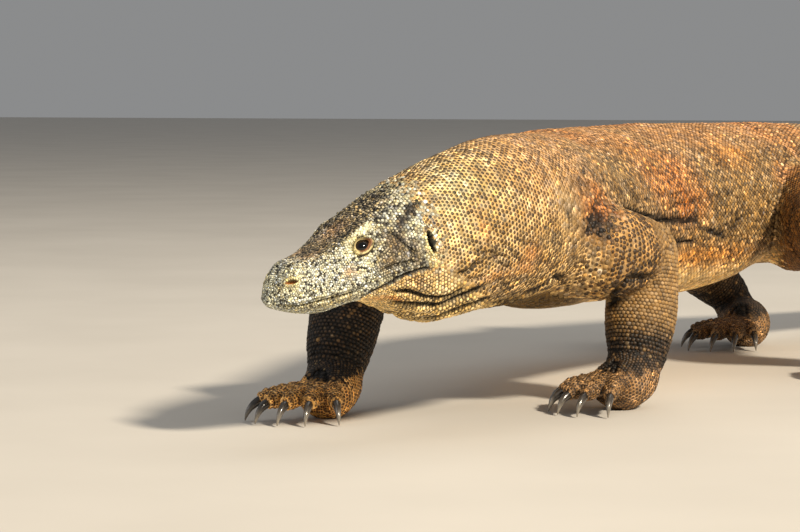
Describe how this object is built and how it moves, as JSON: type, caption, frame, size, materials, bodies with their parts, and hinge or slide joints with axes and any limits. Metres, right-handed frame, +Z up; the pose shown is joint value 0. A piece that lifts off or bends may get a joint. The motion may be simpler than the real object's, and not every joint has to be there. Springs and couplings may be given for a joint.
{
  "type": "komodo dragon model",
  "caption": "Still life-size model of an adult komodo dragon in a slow walk, head turned to its right and held low, tail laid on the floor.",
  "frame": {"origin": "on the floor, under the centre of the animal's bounding box", "axes": "+Z up; -Y ahead, so the body runs from the snout at -Y to the tail tip at +Y; +X to the animal's left"},
  "size_m": [0.4472, 2.3916, 0.2765],
  "materials": {
    "skin": "dry beaded scales, cream and brown, orange-brown on the flanks and hands",
    "claw": "smooth grey-ivory horn with darker roots",
    "eye": "wet dark brown"
  },
  "bodies": {
    "root": {"arm_left_claw_1": "claw", "arm_left_claw_2": "claw", "arm_left_claw_3": "claw", "arm_left_claw_4": "claw", "arm_left_claw_5": "claw", "arm_left_forearm": "skin", "arm_left_hand": "skin", "arm_left_upper": "skin", "arm_right_claw_1": "claw", "arm_right_claw_2": "claw", "arm_right_claw_3": "claw", "arm_right_claw_4": "claw", "arm_right_claw_5": "claw", "arm_right_forearm": "skin", "arm_right_hand": "skin", "arm_right_upper": "skin", "belly": "skin", "chest": "skin", "eye_left": "eye", "eye_right": "eye", "head": "skin", "hips": "skin", "leg_left_claw_1": "claw", "leg_left_claw_2": "claw", "leg_left_claw_3": "claw", "leg_left_claw_4": "claw", "leg_left_claw_5": "claw", "leg_left_foot": "skin", "leg_left_shank": "skin", "leg_left_thigh": "skin", "leg_right_claw_1": "claw", "leg_right_claw_2": "claw", "leg_right_claw_3": "claw", "leg_right_claw_4": "claw", "leg_right_claw_5": "claw", "leg_right_foot": "skin", "leg_right_shank": "skin", "leg_right_thigh": "skin", "lower_jaw": "skin", "neck": "skin", "tail_base": "skin", "tail_lower": "skin", "tail_tip": "skin", "tail_upper": "skin"}
  },
  "joints": []
}
